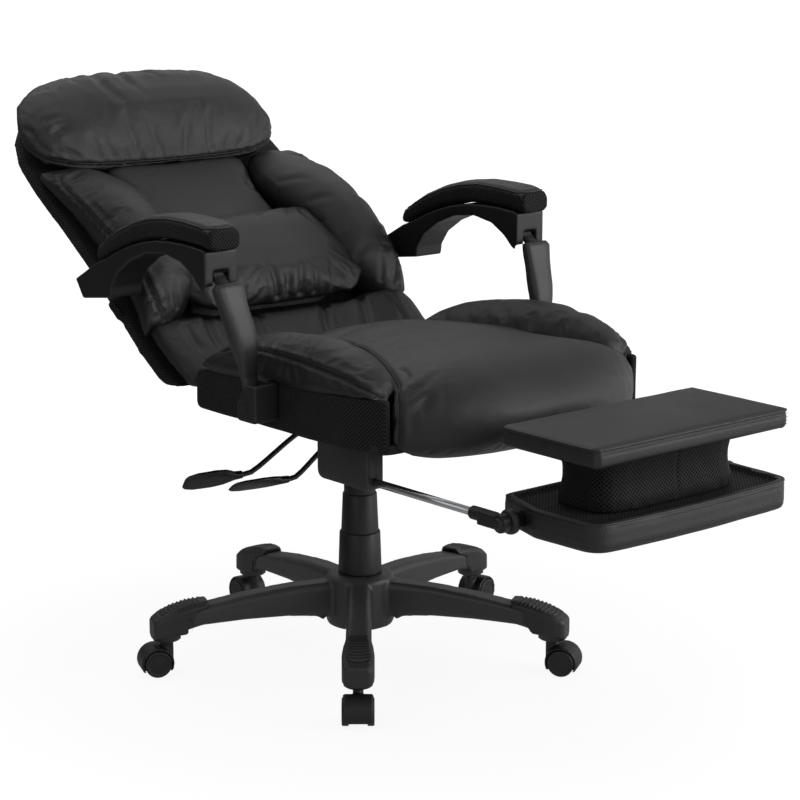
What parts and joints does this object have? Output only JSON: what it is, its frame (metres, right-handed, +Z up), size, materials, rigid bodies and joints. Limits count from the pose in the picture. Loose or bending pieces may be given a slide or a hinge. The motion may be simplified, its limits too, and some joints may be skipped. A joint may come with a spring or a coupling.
{
  "type": "reclining office chair with footrest",
  "caption": "High-backed reclining office chair in padded black leather, with linked armrests, a star base on casters and a footrest that slides out and flips over.",
  "frame": {"origin": "middle of the chair's outer box, on the floor", "axes": "+Z up, the sitter faces -Y, +X is the sitter's left"},
  "size_m": [0.6788, 1.3606, 0.8623],
  "materials": {
    "leather": "glossy black leather",
    "mesh_cloth": "black mesh cloth",
    "plastic": "satin black plastic",
    "dark_plastic": "matt black plastic",
    "steel": "black painted steel",
    "chrome": "polished",
    "plywood": "plywood under a black lining"
  },
  "bodies": {
    "base": {"star_base": "plastic", "leg_cap_1": "dark_plastic", "leg_cap_2": "dark_plastic", "leg_cap_3": "dark_plastic", "leg_cap_4": "dark_plastic", "leg_cap_5": "dark_plastic", "gas_lift_tube": "steel", "dust_cover_lower": "plastic"},
    "caster_1": {"caster_housing_1": "dark_plastic"},
    "wheels_1": {"caster_wheels_1": "dark_plastic"},
    "caster_2": {"caster_housing_2": "dark_plastic"},
    "wheels_2": {"caster_wheels_2": "dark_plastic"},
    "caster_3": {"caster_housing_3": "dark_plastic"},
    "wheels_3": {"caster_wheels_3": "dark_plastic"},
    "caster_4": {"caster_housing_4": "dark_plastic"},
    "wheels_4": {"caster_wheels_4": "dark_plastic"},
    "caster_5": {"caster_housing_5": "dark_plastic"},
    "wheels_5": {"caster_wheels_5": "dark_plastic"},
    "cover_middle": {"dust_cover_middle": "plastic"},
    "column": {"gas_piston": "chrome", "dust_cover_upper": "plastic"},
    "seat": {"mechanism_housing": "steel", "seat_pan": "plywood", "hinge_pin": "steel", "rail_guide_l": "plastic", "rail_guide_r": "plastic", "seat_cushion": "leather", "seat_bolster_l": "leather", "seat_bolster_r": "leather", "seat_side_panel_l": "mesh_cloth", "seat_side_panel_r": "mesh_cloth", "arm_bracket_l": "plastic", "arm_bracket_r": "plastic"},
    "height_lever": {"height_lever_rod": "steel", "height_lever_paddle": "plastic"},
    "recline_lever": {"recline_lever_rod": "steel", "recline_lever_paddle": "plastic"},
    "strut_l": {"arm_strut_l": "plastic"},
    "strut_r": {"arm_strut_r": "plastic"},
    "armrest_l": {"arm_shell_l": "plastic", "arm_pad_l": "leather"},
    "armrest_r": {"arm_shell_r": "plastic", "arm_pad_r": "leather"},
    "back": {"back_shell": "mesh_cloth", "back_bracket": "steel", "back_centre_panel": "leather", "back_lower_panel": "leather", "back_wing_l": "leather", "back_wing_r": "leather", "lumbar_pillow": "leather", "head_pillow": "leather"},
    "footrest_rods": {"footrest_rod_l": "chrome", "footrest_rod_r": "chrome", "knuckle_socket_l": "dark_plastic", "knuckle_socket_r": "dark_plastic"},
    "footrest": {"knuckle_ball_l": "dark_plastic", "knuckle_ball_r": "dark_plastic", "footrest_board": "leather", "footrest_neck": "mesh_cloth", "footrest_tray": "leather"}
  },
  "joints": [
    {"name": "seat_height", "type": "slide", "parent": "base", "child": "column", "axis": [0, 0, 1], "range_m": [-0.08, 0.02]},
    {"name": "dust_cover_slide", "type": "slide", "parent": "base", "child": "cover_middle", "axis": [0, 0, 1], "range_m": [-0.04, 0.01]},
    {"name": "seat_swivel", "type": "hinge", "parent": "column", "child": "seat", "pos_m": [-0.00595, 0.02271, 0.337], "axis": [0, 0, 1], "continuous": true},
    {"name": "caster_swivel_1", "type": "hinge", "parent": "base", "child": "caster_1", "pos_m": [-0.20329, -0.21247, 0.051], "axis": [0, 0, 1], "continuous": true},
    {"name": "caster_swivel_2", "type": "hinge", "parent": "base", "child": "caster_2", "pos_m": [0.15673, -0.23764, 0.051], "axis": [0, 0, 1], "continuous": true},
    {"name": "caster_swivel_3", "type": "hinge", "parent": "base", "child": "caster_3", "pos_m": [0.29193, 0.09698, 0.051], "axis": [0, 0, 1], "continuous": true},
    {"name": "caster_swivel_4", "type": "hinge", "parent": "base", "child": "caster_4", "pos_m": [0.01546, 0.32896, 0.051], "axis": [0, 0, 1], "continuous": true},
    {"name": "caster_swivel_5", "type": "hinge", "parent": "base", "child": "caster_5", "pos_m": [-0.2906, 0.13771, 0.051], "axis": [0, 0, 1], "continuous": true},
    {"name": "wheel_spin_1", "type": "hinge", "parent": "caster_1", "child": "wheels_1", "pos_m": [-0.21486, -0.22626, 0.0205], "axis": [0.766, -0.6428, 0], "continuous": true},
    {"name": "wheel_spin_2", "type": "hinge", "parent": "caster_2", "child": "wheels_2", "pos_m": [0.16627, -0.25291, 0.0205], "axis": [0.848, 0.5299, 0], "continuous": true},
    {"name": "wheel_spin_3", "type": "hinge", "parent": "caster_3", "child": "wheels_3", "pos_m": [0.30939, 0.10133, 0.0205], "axis": [-0.2419, 0.9703, 0], "continuous": true},
    {"name": "wheel_spin_4", "type": "hinge", "parent": "caster_4", "child": "wheels_4", "pos_m": [0.01672, 0.34692, 0.0205], "axis": [-0.9976, 0.0698, 0], "continuous": true},
    {"name": "wheel_spin_5", "type": "hinge", "parent": "caster_5", "child": "wheels_5", "pos_m": [-0.30729, 0.14446, 0.0205], "axis": [-0.3746, -0.9272, 0], "continuous": true},
    {"name": "back_recline", "type": "hinge", "parent": "seat", "child": "back", "pos_m": [-0.00595, 0.14271, 0.4247], "axis": [1, 0, 0], "range_deg": [0, 46]},
    {"name": "arm_strut_l", "type": "hinge", "parent": "seat", "child": "strut_l", "pos_m": [0.27805, -0.09229, 0.4557], "axis": [1, 0, 0], "range_deg": [0, 47]},
    {"name": "arm_strut_r", "type": "hinge", "parent": "seat", "child": "strut_r", "pos_m": [-0.28995, -0.09229, 0.4557], "axis": [1, 0, 0], "range_deg": [0, 47]},
    {"name": "armrest_l", "type": "hinge", "parent": "strut_l", "child": "armrest_l", "pos_m": [0.29205, -0.02329, 0.6317], "axis": [1, 0, 0], "range_deg": [-38, 0]},
    {"name": "armrest_r", "type": "hinge", "parent": "strut_r", "child": "armrest_r", "pos_m": [-0.30395, -0.02329, 0.6317], "axis": [1, 0, 0], "range_deg": [-38, 0]},
    {"name": "footrest_slide", "type": "slide", "parent": "seat", "child": "footrest_rods", "axis": [0, 1, 0], "range_m": [0, 0.196]},
    {"name": "footrest_fold", "type": "hinge", "parent": "footrest_rods", "child": "footrest", "pos_m": [-0.00595, -0.53029, 0.3637], "axis": [1, 0, 0], "range_deg": [0, 181]},
    {"name": "height_lever", "type": "hinge", "parent": "seat", "child": "height_lever", "pos_m": [-0.06895, 0.02271, 0.3767], "axis": [0, 1, 0], "range_deg": [0, 8], "stiffness_Nm_per_rad": 1},
    {"name": "recline_lever", "type": "hinge", "parent": "seat", "child": "recline_lever", "pos_m": [-0.06895, -0.04229, 0.3767], "axis": [0, 1, 0], "range_deg": [0, 8], "stiffness_Nm_per_rad": 1}
  ],
  "couplings": [
    {"joint": "dust_cover_slide", "follows": "seat_height", "ratio": 0.5},
    {"joint": "arm_strut_l", "follows": "back_recline", "ratio": 1.012},
    {"joint": "arm_strut_r", "follows": "back_recline", "ratio": 1.012},
    {"joint": "armrest_l", "follows": "back_recline", "ratio": -0.81241},
    {"joint": "armrest_r", "follows": "back_recline", "ratio": -0.81241},
    {"joint": "footrest_fold", "follows": "footrest_slide", "rad_per_m": 16.029}
  ]
}
